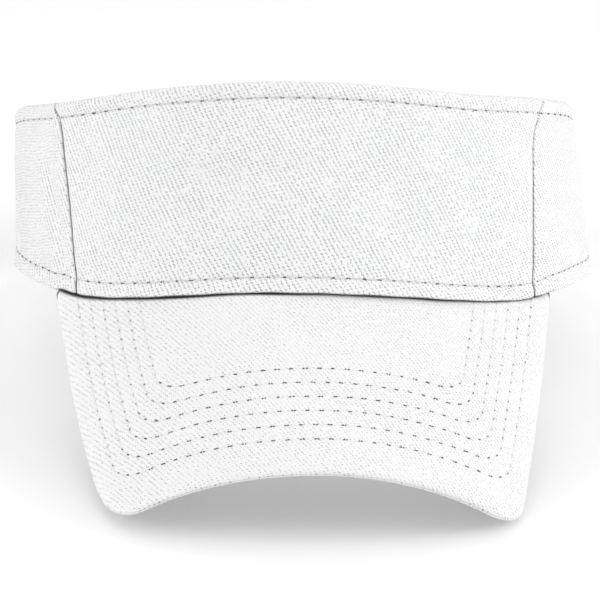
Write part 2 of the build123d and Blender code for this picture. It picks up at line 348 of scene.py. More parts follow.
def tube_faces(count, rings, sides):
    """Faces of `count` tubes with closed ends, each of so many rings with so many sides."""
    faces = []
    for base in range(0, count * rings * sides, rings * sides):
        for i in range(rings - 1):
            for j in range(sides):
                p, q = base + i * sides + j, base + i * sides + (j + 1) % sides
                faces.append((p, q, q + sides, p + sides))
        faces.append(tuple(base + j for j in reversed(range(sides))))
        faces.append(tuple(base + (rings - 1) * sides + j for j in range(sides)))
    return faces


# ---- materials ----------------------------------------------------------------------------

class Nodes:
    """Short ways to wire a material's nodes."""

    def __init__(self, name, base, roughness=0.9, sheen=0.25):
        self.material = bpy.data.materials.new(name)
        self.material.use_nodes = True
        self.tree = self.material.node_tree
        self.shader = self.tree.nodes["Principled BSDF"]
        self.shader.inputs["Base Color"].default_value = (*base, 1)
        self.shader.inputs["Roughness"].default_value = roughness
        self.shader.inputs["Specular IOR Level"].default_value = 0.25
        self.shader.inputs["Sheen Weight"].default_value = sheen
        self.shader.inputs["Sheen Roughness"].default_value = 0.5

    def put(self, target, value):
        if hasattr(value, "is_output"):
            self.tree.links.new(value, target)
        else:
            target.default_value = value

    def add(self, kind, output, inputs, **settings):
        """A new node's output, with its settings and its inputs filled in."""
        node = self.tree.nodes.new("ShaderNode" + kind)
        for name, value in settings.items():
            setattr(node, name, value)
        for name, value in inputs.items():
            self.put(node.inputs[name], value)
        return node.outputs[output]

    def math(self, operation, a, b=0.0, c=0.0):
        return self.add("Math", 0, {0: a, 1: b, 2: c}, operation=operation)

    def uv(self):
        """The cloth's coordinates in millimetres: as a vector, and u and v on their own."""
        vector = self.add("UVMap", 0, {}, uv_map="UVMap")
        return [vector] + [self.add("SeparateXYZ", axis, {0: vector}) for axis in (0, 1)]

    def noise(self, vector, scale, detail=2.0):
        return self.add("TexNoise", "Fac", {"Vector": vector, "Scale": scale, "Detail": detail})

    def window(self, value, low, high):
        """0 below low and 1 above high, or the other way round where low is the larger."""
        return self.add("MapRange", 0, {"Value": value, "From Min": low, "From Max": high},
                        interpolation_type="SMOOTHSTEP")

    def mix(self, share, first, second):
        first = first if hasattr(first, "is_output") else (*first, 1)
        return self.add("Mix", "Result", {"Factor": share, "A": first, "B": (*second, 1)},
                        data_type="RGBA")

    def colours(self, share, first, second, with_painted_shade=False):
        """Mix two colours, and paint near-black shade on the creases and seam ditches, as far as the
        mesh's painted shade values go.
        """
        colour = self.mix(share, first, second)
        if with_painted_shade:
            shade = self.add("Attribute", "Fac", {}, attribute_name="shade")
            colour = self.mix(shade, colour, CREASE_SHADE)
        self.put(self.shader.inputs["Base Color"], colour)

    def bump(self, height, distance, strength=0.8):
        inputs = {"Distance": distance, "Strength": strength, "Height": height}
        self.put(self.shader.inputs["Normal"], self.add("Bump", 0, inputs))


# The last colour here is painted shade, near black, for the creases and the seam ditches.
COTTON, COTTON_DARK, CREASE_SHADE = (0.88, 0.88, 0.88), (0.08, 0.08, 0.085), (0.005, 0.005, 0.005)
TERRY, TERRY_DARK = (0.84, 0.84, 0.835), (0.55, 0.55, 0.55)
# The last of these is painted shade for the needle holes at the stitches' ends.
THREAD, THREAD_DARK, NEEDLE_HOLE_SHADE = (0.9, 0.9, 0.9), (0.5, 0.5, 0.5), (0.02, 0.02, 0.02)
RIDGE_OFFSET = 0.37                 # how much later the floats of each next ridge start


def twill(name, steepness, pitch, length, strength):
    """Cotton twill: diagonal ridges of short floats, with dark specks where the yarns part.
    The ridges' steepness is in degrees, their pitch and the floats' length in millimetres."""
    n = Nodes(name, COTTON)
    vector, u, v = n.uv()
    slope = np.radians(steepness)
    wander = n.math("SUBTRACT", n.noise(vector, 0.10), 0.5)
    across = n.math("ADD", n.math("MULTIPLY", u, np.sin(slope) / pitch),
                    n.math("MULTIPLY_ADD", v, np.cos(slope) / pitch, wander))
    along = n.math("ADD", n.math("MULTIPLY", u, -np.cos(slope) / length),
                   n.math("MULTIPLY_ADD", v, np.sin(slope) / length, wander))
    ridge = n.math("MULTIPLY_ADD", n.math("SINE", n.math("MULTIPLY", across, 2 * np.pi)), 0.5, 0.5)
    ridge_number = n.math("FLOOR", n.math("ADD", across, 0.25))
    shifted = n.math("ADD", along, n.math("MULTIPLY", ridge_number, RIDGE_OFFSET))
    floats = n.math("ABSOLUTE", n.math("SINE", n.math("MULTIPLY", shifted, np.pi)))
    grain = n.noise(vector, 1.5, 1.0)
    patches = n.noise(vector, 0.055, 2.0)
    valley = n.window(ridge, 0.42, 0.05)
    gap = n.window(floats, 0.68, 0.18)
    uneven = n.math("MULTIPLY", n.window(grain, 0.40, 0.68),
                    n.math("MULTIPLY_ADD", n.window(patches, 0.3, 0.6), 0.6, 0.4))
    speck = n.math("MULTIPLY", n.math("MULTIPLY", valley, gap), uneven)
    dark = n.math("MINIMUM", n.math("MULTIPLY", speck, strength), 1.0)
    n.colours(dark, COTTON, COTTON_DARK, with_painted_shade=True)
    height = n.math("MULTIPLY_ADD", grain, 0.35, n.math("MULTIPLY_ADD", floats, 0.3, ridge))
    n.bump(height, 0.00018)
    return n.material


def plain_weave(name, pitch, base=COTTON):
    n = Nodes(name, base)
    vector, u, v = n.uv()
    warp = n.math("SINE", n.math("MULTIPLY", u, 2 * np.pi / pitch))
    weft = n.math("SINE", n.math("MULTIPLY", v, 2 * np.pi / pitch))
    height = n.math("MULTIPLY_ADD", n.math("MULTIPLY", warp, weft), 0.5, n.noise(vector, 1.2, 3.0))
    n.colours(n.math("MULTIPLY", n.window(height, 0.35, 0.0), 0.35), base, COTTON_DARK)
    n.bump(height, 0.00012)
    return n.material


def towelling(name):
    n = Nodes(name, TERRY, roughness=1.0, sheen=0.5)
    vector, _, _ = n.uv()
    loops = n.add("TexVoronoi", "Distance", {"Vector": vector, "Scale": 0.95})
    fuzz = n.noise(vector, 2.5, 4.0)
    height = n.math("MULTIPLY_ADD", loops, -1.2, fuzz)
    n.colours(n.math("MULTIPLY", n.window(loops, 0.35, 0.8), 0.4), TERRY, TERRY_DARK)
    n.bump(height, 0.0005, 0.9)
    return n.material


def thread_material(name, bright_half):
    """Sewing thread: v runs along each stitch, which sinks into its needle holes at both ends; there its
    colour is painted near black, as the shade in the holes.
    """
    n = Nodes(name, COTTON, roughness=0.7, sheen=0.1)
    _, u, v = n.uv()
    ply = n.math("SINE", n.math("MULTIPLY_ADD", u, 14.0, n.math("MULTIPLY", v, 40.0)))
    ends = n.window(n.math("ABSOLUTE", v), bright_half, bright_half + 0.06)
    colour = n.mix(n.math("MULTIPLY_ADD", ply, 0.08, 0.1), THREAD, THREAD_DARK)
    # Both ends of each stitch, past bright_half, are painted near black as needle-hole shade.
    colour = n.mix(ends, colour, NEEDLE_HOLE_SHADE)
    n.put(n.shader.inputs["Base Color"], colour)
    n.bump(ply, 0.00006)
    return n.material


def speckled(name, base, dark, scale, bump, roughness=0.8, sheen=0.2):
    n = Nodes(name, base, roughness, sheen)
    vector, _, _ = n.uv()
    grain = n.noise(vector, scale, 4.0)
    n.colours(n.math("MULTIPLY", n.window(grain, 0.35, 0.75), 0.6), base, dark)
    n.bump(grain, bump)
    return n.material


crown_twill = twill("crown_twill", 63, 1.30, 0.98, 6.5)
brim_twill = twill("brim_twill", 58, 1.10, 0.98, 1.7)
strap_twill = twill("strap_twill", 62, 1.25, 1.6, 1.0)
lining_weave = plain_weave("lining_weave", 0.7)
tape_weave = plain_weave("tape_weave", 0.9)
buckram_weave = plain_weave("buckram_weave", 1.6, (0.72, 0.72, 0.68))
terry = towelling("terry")
thread = thread_material("thread", 0.37)
brim_thread = thread_material("brim_thread", 0.34)
felt = speckled("felt", (0.75, 0.75, 0.74), (0.6, 0.6, 0.6), 0.8, 0.0003)
foam = speckled("foam", (0.8, 0.8, 0.77), (0.6, 0.6, 0.57), 1.5, 0.0004)
board_sheet = speckled("board_sheet", (0.7, 0.7, 0.7), (0.6, 0.6, 0.6), 0.5, 0.00005, 0.45, 0.0)
satin = speckled("satin", (0.86, 0.86, 0.87), (0.78, 0.78, 0.8), 0.6, 0.00003, 0.35, 0.3)
hook_plastic = speckled("hook_plastic", (0.78, 0.79, 0.8), (0.65, 0.66, 0.68), 1.0, 0.00004, 0.35, 0.0)
loop_pile = speckled("loop_pile", (0.8, 0.8, 0.8), (0.55, 0.55, 0.56), 2.2, 0.0005, 1.0, 0.5)


# ---- stitching ----------------------------------------------------------------------------

def surface_frame(surface, a, b):
    """Points and outward unit normals of a surface of two parameters."""
    point, step = surface(a, b), 0.02
    normal = np.cross(surface(a + step, b) - point, surface(a, b + step) - point)
    return point, unit(normal)


dice = np.random.default_rng(11)
STITCH_RINGS, STITCH_SIDES = 7, 6


def stitch_mesh(surface, path, pitch, share=0.94, radius=0.22, sunk=0.06, proud=0.10, facing=1,
                contrast=None):
    """Threads lying along a path of surface parameters, each dipping into the cloth."""
    path = np.asarray(path, float)
    points = surface(path[:, 0], path[:, 1])
    length = path_length(points)
    count = max(1, int(round(length[-1] / pitch)))
    run = np.linspace(-0.5, 0.5, STITCH_RINGS)
    middles = np.arange(count)[:, None] + 0.5 + dice.normal(0, 0.025, (count, 1))
    where = (middles + run * share) * length[-1] / count
    a = np.interp(where, length, path[:, 0])
    b = np.interp(where, length, path[:, 1])
    centre, normal = surface_frame(surface, a, b)
    normal = normal * facing
    rise = np.cos(np.pi * run) ** 0.6
    centre = centre + normal * (-sunk + (sunk + proud) * rise)[None, :, None]
    tangent = unit(np.gradient(centre, axis=1))
    aside = unit(np.cross(tangent, normal))
    upright = np.cross(aside, tangent)
    turn = np.linspace(0, 2 * np.pi, STITCH_SIDES, endpoint=False)
    thick = radius * (1.15 - 0.2 * np.cos(np.pi * run))
    ring = (np.cos(turn)[None, None, :, None] * upright[:, :, None]
            + np.sin(turn)[None, None, :, None] * aside[:, :, None]) * thick[None, :, None, None]
    vertices = (centre[:, :, None] + ring).reshape(-1, 3)
    middle = path[np.searchsorted(length, where[:, STITCH_RINGS // 2]).clip(0, len(path) - 1)]
    # bold scales v, and with it how much of each stitch's ends the thread material paints as needle-hole
    # shade.
    bold = (contrast(*middle.T) if contrast else 1.0) * dice.uniform(0.88, 1.1, count)
    uv = np.stack(np.broadcast_arrays(
        turn[None, None, :] * radius, run[None, :, None] * bold[:, None, None]), -1).reshape(-1, 2)
    return vertices, tube_faces(count, STITCH_RINGS, STITCH_SIDES), uv


def join_meshes(meshes):
    vertices, faces, uvs, count = [], [], [], 0
    for v, f, uv in meshes:
        vertices.append(v)
        faces += [tuple(i + count for i in face) for face in f]
        uvs.append(uv)
        count += len(v)
    return np.concatenate(vertices), faces, np.concatenate(uvs)


def stitching(name, meshes, body, slot, material=None):
    vertices, faces, uv = join_meshes(meshes)
    return make_piece(name, vertices, faces, material or thread, body, slot, uv, 180)


# ---- relief of the band's cloth -----------------------------------------------------------

HEM_ROW, FOOT_ROW = 4.6, 5.0         # stitch rows, from the top edge and from the seam
BAND_PITCH, BRIM_PITCH = 4.7, 4.0


# Slow waves of the front: size, lengths round the band and upwards, and start
SWELLS = (0.30, 11.0, 17.0, 0.0), (0.20, 6.3, -9.0, 1.0), (0.10, 3.9, 13.0, 2.2)


def soft_shape(angle, w):
    """Slow dents and swells of the worn cloth, positive outwards."""
    s = along_band(angle)
    front = within(angle, 80, 105)
    swell = sum(size * np.sin(s / along + w / up + start) for size, along, up, start in SWELLS) * front
    # a long dent across the front with a swell over it, and a hollow by the left seam
    middle, slanted = bump_at(s + 21, 0, 30), w - 0.05 * (s + 21)
    dent = -1.3 * middle * bump_at(slanted, 36.0, 3.6)
    dent += 0.5 * middle * bump_at(slanted, 44.5, 4.5)
    dent += -0.45 * bump_at(s, -57, 9) * bump_at(w, 47, 9)
    # folds of the left arm
    fold = s + 96 + 0.33 * (w - 18)
    dent += -0.9 * bump_at(fold, 9, 3.2) * smooth(w, -4, 8) * (1 - smooth(w, 28, 46))
    dent += 0.45 * bump_at(fold, 3.5, 3.5) * smooth(w, -4, 8) * (1 - smooth(w, 28, 46))
    dent += -0.5 * bump_at(fold, -5, 3.0) * (1 - smooth(w, 4, 20))
    # the left arm is pressed in at its foot, and the right one stands out
    dent += -1.35 * bump_at(angle, -90, 24) * (1 - 0.8 * smooth(w, 15, 48))
    dent += 1.9 * bump_at(angle, 81, 13) * (1 - 0.65 * smooth(w, 20, 50))
    return swell + dent


DITCH_DEPTH, DITCH_REACH = 1.15, 1.0


def seam_shape(angle, w):
    """Narrow ditch where the panels meet at the side seams, in a shallow puckered valley."""
    shape = np.zeros(np.broadcast(angle, w).shape)
    for side in (-1, 1):
        gap = np.abs(angle - seam_angle(side, w)) * np.radians(1) * MEAN_RADIUS
        ditch = DITCH_DEPTH * np.clip(1 - gap / DITCH_REACH, 0, 1) ** 1.5
        shape -= ditch + 0.30 * bump_at(gap, 0, 2.6)
        shape += 0.10 * bump_at(gap, 3.4, 1.6)
        shape += 0.05 * np.sin(2 * np.pi * w / 6.1 + side) * bump_at(gap, 2.0, 2.5)
    return shape


def hem_shape(angle, w):
    """Fine relief of the turned edges, the stitch rows and the side seams."""
    s, below, above = along_band(angle), top(angle) - w, w - bottom(angle)
    shape = 0.28 * smooth(below, 0, 1.5) * (1 - smooth(below, 3.2, HEM_ROW))
    shape -= 0.13 * bump_at(below, HEM_ROW, 0.6) + 0.20 * bump_at(below, HEM_ROW, 2.2)
    shape += overhang(angle) * (1 - smooth(above, 2.2, FOOT_ROW + 0.4))
    shape -= 0.13 * bump_at(above, FOOT_ROW, 0.6) + 0.26 * bump_at(above, FOOT_ROW + 0.8, 2.8)
    pucker = 0.07 * np.sin(2 * np.pi * s / BAND_PITCH + 0.6) + 0.05 * np.sin(2 * np.pi * s / 7.9)
    shape += pucker * (bump_at(below, HEM_ROW + 1.5, 3.0) + bump_at(above, FOOT_ROW + 1.5, 3.5))
    return shape + seam_shape(angle, w)


def outside(angle, w):
    """Outer face of the band's twill."""
    return band_point(angle, w, -soft_shape(angle, w) - hem_shape(angle, w))


def layer_point(angle, w, depth):
    """A point inside the band's layers, which share its slow dents."""
    return band_point(angle, w, depth - soft_shape(angle, w))


# ---- pieces of the band -------------------------------------------------------------------

SEAM_GAP = 0.62                        # between the band's lower edge and the brim
FOOT_RADIUS, HEM_DEPTH, FOOT_TUCK = 1.1, 9.0, 1.95
PROFILE_HEIGHTS = np.linspace(-8, 68, 77)
LINING_BACK = 2.52                     # depth just behind the lining
SWEATBAND_TOP, SWEATBAND_END = 31.5, 128
ARM_CORNER = 1.0                       # small, so the turned edges clear the strap


def overhang(angle):
    """How far the front panel's lower edge stands out over the brim."""
    return bumps(angle, OVERHANG_SWAY, 0.5)


def hem_depth(angle):
    return HEM_DEPTH - 3.0 * smooth(np.abs(angle), 112, 130)


def corner_cut(distance, radius):
    """How far a rounded corner takes an edge back, at a distance from the end."""
    inside = np.clip(radius - distance, 0, radius)
    return radius - np.sqrt(radius ** 2 - inside ** 2)


def arm_end_cut(angle):
    return corner_cut((ARM_END - np.abs(angle)) * REAR_ARC, ARM_CORNER)


def band_foot(angle):
    """Lower edge of the band's cloth, which stands clear of the brim."""
    on_brim = within(angle, *BRIM_END)
    gap = bumps(angle, GAP_SWAY, SEAM_GAP) + 0.06 * np.sin(along_band(angle) / 2.3)
    gap = (gap - 0.72 * (overhang(angle) - 0.3)) * on_brim
    return bottom(angle) + gap + arm_end_cut(angle)


def inner_foot(angle):
    """Lower edge of the lining and the sweatband, level with the brim's underside and the arms' edge."""
    on_brim = within(angle, 52, 55.5)
    under = np.interp(angle, TABLE_ANGLES, TABLE_UNDER)
    return on_brim * under + (1 - on_brim) * (band_foot(angle) + 0.15)


def band_head(angle):
    return top(angle) - arm_end_cut(angle)


def cloth_profile(low, crest, hem, rise, thickness):
    """Heights and depths across the cloth, from the turned-in foot over the face to the hem's end."""
    head = (BAND_THICKNESS + CLOTH) / 2
    turn_in, over = np.radians(np.linspace(-90, -180, 7)), np.radians(np.linspace(180, 0, 13))
    foot_depth = FOOT_RADIUS + (FOOT_RADIUS - thickness) * np.cos(turn_in)
    foot_w = low + FOOT_RADIUS + (FOOT_RADIUS - thickness) * np.sin(turn_in)
    face_low, face_high = low + FOOT_RADIUS, crest - head
    face = face_low + (face_high - face_low) * rise
    over_depth = head + (head - thickness) * np.cos(over)
    over_w = crest - head + (head - thickness) * np.sin(over)
    tail = np.linspace(crest - head, crest - hem, 6)[1:]
    w = np.concatenate([[foot_w[0]], foot_w, face, over_w, tail])
    depth = np.concatenate([[FOOT_TUCK], foot_depth, np.full(len(face), thickness),
                            over_depth, np.full(len(tail), over_depth[-1])])
    return w, depth


def crease_shade(angle, w, depth, low):
    """Painted shade on the turned-in edge above the brim and in the side seams' ditches, on top of the
    real shadow in these gaps.
    """
    on_brim = within(angle, *BRIM_END)
    tucked = smooth(depth, 0.02, 0.35) * (w < low + FOOT_RADIUS) * on_brim
    ditch = np.zeros(len(w))
    for side in (-1, 1):
        gap = np.abs(angle - seam_angle(side, w)) * FRONT_ARC
        ditch += (1 - smooth(gap, 0.25, 0.62)) * (depth < 0.3)
    return np.clip(tucked + 0.85 * ditch, 0, 1)


def band_cloth(first_angle, last_angle, columns):
    """Outer twill between two edges, turned in at the bottom and over the top."""
    rise = spaced((0, 1), 0.02, ((0.085, 0.03, 0.004), (0.925, 0.03, 0.004)))[1:-1]
    first, last = first_angle(PROFILE_HEIGHTS), last_angle(PROFILE_HEIGHTS)
    outer, inner, lengths, shades = [], [], [], []
    for share in columns:
        angle_at = partial(np.interp, xp=PROFILE_HEIGHTS, fp=first + (last - first) * share)
        low = float(band_foot(angle_at(0.0)))
        crest = CREST_GUESS
        for _ in range(4):
            crest = float(band_head(angle_at(crest)))
        hem = float(hem_depth(angle_at(crest)))
        for thickness, grid in ((0.0, outer), (CLOTH, inner)):
            w, depth = cloth_profile(low, crest, hem, rise, thickness)
            angle = angle_at(w)
            on_face = smooth(BAND_THICKNESS - depth, 0.6, 2.3)
            fine = seam_shape(angle, w) if thickness else hem_shape(angle, w)
            grid.append(band_point(angle, w, depth - soft_shape(angle, w) - fine * on_face))
            if not thickness:
                lengths.append(along_band(angle))
                shades.append(crease_shade(angle, w, depth, low))
    rising = [path_length(line) for line in outer]
    sheet = closed_sheet(np.stack(outer), np.stack(inner), np.stack([lengths, rising], -1))
    return sheet + (np.tile(np.ravel(shades), 2),)


def level(height):
    """An edge at one height, or one angle, all the way along."""
    return lambda along: np.full(np.shape(along), float(height))


def between(low, high):
    """Two edges at fixed angles, or along a side seam where a function is given."""
    return [limit if callable(limit) else level(limit) for limit in (low, high)]


left_seam, right_seam = partial(seam_angle, -1), partial(seam_angle, 1)


def layer_sheet(first, last, low, high, depths, surface=None, step=1.6, rise_step=1.4, edge=0.3):
    """A flat layer between two edges, from low(angle) to high(angle), with softened edges."""
    first, last = between(first, last)
    surface = surface or layer_point
    spread = float(last(BAND_MIDDLE) - first(BAND_MIDDLE)) * SIDE_ARC
    centre = (first(BAND_MIDDLE) + last(BAND_MIDDLE)) / 2
    tall = float(high(centre) - low(centre))
    share, rise = np.meshgrid(edge_spaced(step, 0.5, 0.12, spread),
                              edge_spaced(rise_step, 0.5, 0.12, tall), indexing="ij")

    def angle_at(w):
        return first(w) * (1 - share) + last(w) * share
    angle = angle_at(np.full(share.shape, BAND_MIDDLE))
    for _ in range(3):
        w = low(angle) + (high(angle) - low(angle)) * rise
        angle = angle_at(w)
    gap = np.minimum(np.minimum(share, 1 - share) * spread, np.minimum(rise, 1 - rise) * tall)
    rounding = np.sqrt(1 - (1 - np.clip(gap / edge, 0, 1)) ** 2)
    half = (depths[1] - depths[0]) / 2 * (0.35 + 0.65 * rounding)
    mid = (depths[0] + depths[1]) / 2
    uv = np.stack([along_band(angle), w], -1)
    return closed_sheet(surface(angle, w, mid - half), surface(angle, w, mid + half), uv)


def add_piece(name, sheet, material, body, slot, node=None):
    vertices, faces, uv, *shade = sheet
    piece = make_piece(name, vertices, faces, material, body, slot, uv,
                       shade=shade[0] if shade else None)
    if node:
        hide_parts(*([node] if isinstance(node, str) else node))
    return piece


def make_outer_cloth():
    front, arm = edge_spaced(0.0036, 0.018, 0.0012), edge_spaced(0.007, 0.024, 0.0018)
    for name, limits, columns in (("front_panel", (left_seam, right_seam), front),
                                  ("side_panel_left", (-ARM_END, left_seam), arm),
                                  ("side_panel_right", (right_seam, ARM_END), arm)):
        sheet = band_cloth(*between(*limits), columns)
        add_piece(name + "_cloth", sheet, crown_twill, "crown", "twill", name)


def make_inner_layers():
    """Stiffener, soft filler and linings, which lie between the outer twill and the sweatband."""
    def beside(side, shift):
        return lambda w: seam_angle(side, w) + shift

    def filler_foot(angle):
        return band_foot(angle) + 1.3

    def head(angle):
        return band_head(angle) - 1.8

    def under_hem(angle):
        return band_head(angle) - HEM_DEPTH - 0.3

    filler, lining = (filler_foot, (0.75, 1.9)), (inner_foot, (2.0, 2.5))
    rows = (("front_buckram", beside(-1, 1.0), beside(1, -1.0), *filler, buckram_weave, "buckram"),
            ("side_interlining_left", -116.0, beside(-1, -1.0), *filler, felt, "interlining"),
            ("side_interlining_right", beside(1, 1.0), 96.0, *filler, felt, "interlining"),
            ("front_lining", left_seam, right_seam, *lining, lining_weave, "lining"),
            ("side_lining_left", -ARM_END, beside(-1, -0.05), *lining, lining_weave, "lining"),
            ("side_lining_right", beside(1, 0.05), ARM_END, *lining, lining_weave, "lining"))
    for node, first, last, low, depths, material, slot in rows:
        sheet = layer_sheet(first, last, low, head, depths)
        add_piece(node + "_layer", sheet, material, "crown", slot, node)
    for side, word in ((-1, "left"), (1, "right")):
        tape = layer_sheet(beside(side, -3.8), beside(side, 3.8), level(SWEATBAND_TOP + 0.3), under_hem,
                           (LINING_BACK, 2.95), step=0.8)
        add_piece(f"seam_tape_{word}_strip", tape, tape_weave, "crown", "tape", f"seam_tape_{word}")


# ---- sweatband ----------------------------------------------------------------------------

PAD_THICKNESS = 2.0
SWEATBAND_BACK, TERRY_THICKNESS, PILE_HEIGHT = 2.55, 0.25, 0.62
LABEL_ANGLES, LABEL_HEIGHTS = (-113.0, -97.0), (7.0, 23.0)


def sweat_top(angle):
    return np.minimum(SWEATBAND_TOP, band_head(angle) - hem_depth(angle) - 0.4)


def pad_bulge(angle, w):
    """How far the forehead pad pushes the sweatband in."""
    across = within(angle, 24, 33)
    up = smooth(w, 2.0, 6.5) * (1 - smooth(w, 25.0, 30.0))
    return PAD_THICKNESS * across * up


def sweat_point(angle, w, depth):
    """Surface of the sweatband; `depth` 0 is its back and 1 its face."""
    foot = inner_foot(angle)
    rise = (w - foot) / (sweat_top(angle) - foot)
    plump = np.sqrt(np.clip(1 - (2 * np.clip(rise, 0, 1) - 1) ** 8, 0, 1))
    s = along_band(angle)
    lumps = 0.10 * np.sin(s / 3.1 + 1.7 * np.sin(w / 5.0)) * np.sin(w / 2.6 + s / 17.0)
    lumps += 0.05 * np.sin(s / 1.1 + w / 1.7) * np.sin(w / 0.9 - s / 2.3)
    front = np.where(np.abs(angle) < 90, np.cos(np.radians(angle)), 0)
    behind = SWEATBAND_BACK + 0.9 * pad_bulge(angle, w) * front
    face = behind + TERRY_THICKNESS + (PILE_HEIGHT + lumps) * plump
    face = face - 0.32 * bump_at(w, foot + 3.0, 0.6) - 0.25 * bump_at(w, sweat_top(angle) - 2.6, 0.6)
    return layer_point(angle, w, behind + (face - behind) * depth)


def make_sweatband():
    columns = np.linspace(-SWEATBAND_END, SWEATBAND_END, 640)
    angle, share = np.meshgrid(columns, edge_spaced(0.025, 0.03, 0.006), indexing="ij")
    w = inner_foot(angle) + (sweat_top(angle) - inner_foot(angle)) * share
    edge = np.sqrt(np.clip(1 - (1 - np.clip((SWEATBAND_END - np.abs(angle)) * 1.5, 0, 1)) ** 2, 0.05, 1))
    uv = np.stack([along_band(angle), w], -1)
    sheet = closed_sheet(sweat_point(angle, w, 0.0), sweat_point(angle, w, edge), uv)
    band = add_piece("sweatband_terry", sheet, terry, "crown", "terry", "sweatband")

    def pad_point(angle, w, depth):
        return layer_point(angle, w, LINING_BACK + depth * np.maximum(pad_bulge(angle, w) * 0.8, 0.12))
    pad = layer_sheet(-31.5, 31.5, level(3.0), level(29.5), (0.0, 0.98), pad_point)
    pad = add_piece("forehead_foam", pad, foam, "crown", "foam", "forehead_pad")

    def label_point(angle, w, depth):
        lift = layer_point(angle, w, 0.05 + depth) - layer_point(angle, w, 0)
        return sweat_point(angle, w, 1.0) + lift
    label = layer_sheet(*LABEL_ANGLES, *map(level, LABEL_HEIGHTS), (0.0, 0.22), label_point, 0.8, 0.8)
    add_piece("care_label_ribbon", label, satin, "crown", "label", "care_label")


# ---- brim ---------------------------------------------------------------------------------

EDGE_ROUND = BRIM_THICKNESS / 2
BRIM_COVER = 0.6
ROW_COUNT, FIRST_ROW, ROW_STEP = 6, 12.1, 5.5
FIRST_LEG, LEG_STEP, ROW_CORNER = 5.5, 3.4, 7.0
SEAM_REACH = 4.6                      # rows start this far ahead of the brim's hidden rear edge
BRIM_TUCK = 2.0                       # the brim's rear edge ends this deep inside the band


def circle_through(a, b, c):
    """Centre and radius of the circle through three points."""
    a, b, c = (np.array(p, float) for p in (a, b, c))
    rows = 2 * np.array([b - a, c - a])
    centre = np.linalg.solve(rows, [b @ b - a @ a, c @ c - a @ a])
    return centre, np.linalg.norm(a - centre)


def brim_half_outline(inset):
    """Points and outward normals of the right side, from the tip to the middle of the corner,
    and of the front edge from there to the centre line."""
    centre, radius = circle_through(BRIM_TIP, BRIM_SIDE, BRIM_CORNER)
    tip, corner = np.array(BRIM_TIP), np.array(BRIM_CORNER)
    start, stop = [np.arctan2(*(p - centre)[::-1]) for p in (tip, corner)]
    along = np.linspace(start, stop, 400)
    normal = np.stack([np.cos(along), np.sin(along)], -1)
    line = centre + normal * radius
    onwards = np.array([-normal[-1, 1], normal[-1, 0]])
    # the corner arc touches the line that carries on from the side and the front edge
    tangent_turn = np.arctan2(normal[-1, 1], normal[-1, 0])
    arc_turns = np.linspace(tangent_turn, np.pi / 2, 60)
    arc_y = BRIM_LENGTH - BRIM_CORNER_RADIUS
    reach = (arc_y + BRIM_CORNER_RADIUS * np.sin(tangent_turn) - corner[1]) / onwards[1]
    touch = corner + onwards * reach
    arc_centre = touch - normal[-1] * BRIM_CORNER_RADIUS
    arc_normal = np.stack([np.cos(arc_turns), np.sin(arc_turns)], -1)
    arc = arc_centre + arc_normal * BRIM_CORNER_RADIUS
    points = np.concatenate([line, arc[1:]])
    normals = np.concatenate([normal, arc_normal[1:]])
    half = len(line) + len(arc) // 2
    front = np.concatenate([arc[len(arc) // 2:], [[0.0, BRIM_LENGTH]]])
    front_normals = np.concatenate([arc_normal[len(arc) // 2:], [[0.0, 1.0]]])
    return (points[:half] - normals[:half] * inset, normals[:half],
            front - front_normals * inset, front_normals)


def resample(points, normals, count):
    """Evenly spaced points along a path, with their normals."""
    length = path_length(points)
    where = np.linspace(0, length[-1], count)
    new, turned = [np.stack([np.interp(where, length, column) for column in grid.T], -1)
                   for grid in (points, normals)]
    return new, unit(turned)


def brim_back(x, depth):
    """How far forwards of the seam the brim's rear edge lies; it ends inside the band."""
    def outside_band(ahead):
        p = brim_point(x, ahead, depth)
        across = HALF_WIDTH - SIDE_LEAN * p[..., 2] - BRIM_TUCK
        reach = FRONT_REACH - FRONT_LEAN * p[..., 2] - BRIM_TUCK
        return (p[..., 0] / across) ** 2 + (np.minimum(p[..., 1], 0) / reach) ** 2 > 1
    return np.maximum(bisect(outside_band, np.shape(x), -60.0, 30.0)[1], BRIM_TIP[1])


def brim_half_width(ahead):
    """Half width of the brim's outline, without its rounded corners."""
    centre, radius = circle_through(BRIM_TIP, BRIM_SIDE, BRIM_CORNER)
    on_arc = centre[0] + np.sqrt(radius ** 2 - (np.minimum(ahead, BRIM_CORNER[1]) - centre[1]) ** 2)
    slope = -(BRIM_CORNER[1] - centre[1]) / (BRIM_CORNER[0] - centre[0])
    return on_arc + slope * np.maximum(ahead - BRIM_CORNER[1], 0)


def row_line(row):
    """How far ahead a stitch row runs along the brim's front."""
    return BRIM_LENGTH - FIRST_ROW - ROW_STEP * row


def row_distance(x, ahead, row):
    """Signed distance from a stitch row, positive inside it."""
    a = brim_half_width(ahead) - FIRST_LEG - LEG_STEP * row - np.abs(x)
    b = row_line(row) - ahead
    rounded = ROW_CORNER - np.hypot(np.maximum(ROW_CORNER - a, 0), np.maximum(ROW_CORNER - b, 0))
    return np.where((a < ROW_CORNER) & (b < ROW_CORNER), rounded, np.minimum(a, b))


def row_path(row):
    """Points of a stitch row, from the left end of the seam round to the right."""
    line, inset = row_line(row), FIRST_LEG + LEG_STEP * row
    x_start = brim_half_width(-20.0) - inset
    begin = float(brim_back(np.array(x_start), 0.0)) + SEAM_REACH
    leg = np.linspace(begin, line - ROW_CORNER, 40)
    right = [(float(brim_half_width(r)) - inset, r) for r in leg]
    for t in np.linspace(0, np.pi / 2, 12)[1:]:
        r = line - ROW_CORNER * (1 - np.sin(t))
        right.append((float(brim_half_width(r)) - inset - ROW_CORNER * (1 - np.cos(t)), r))
    right = np.array(right)
    across = np.linspace(right[-1, 0], -right[-1, 0], 60)[1:-1]
    front = np.stack([across, np.full(len(across), line)], -1)
    return np.concatenate([right, front, right[::-1] * (-1, 1)])[::-1]


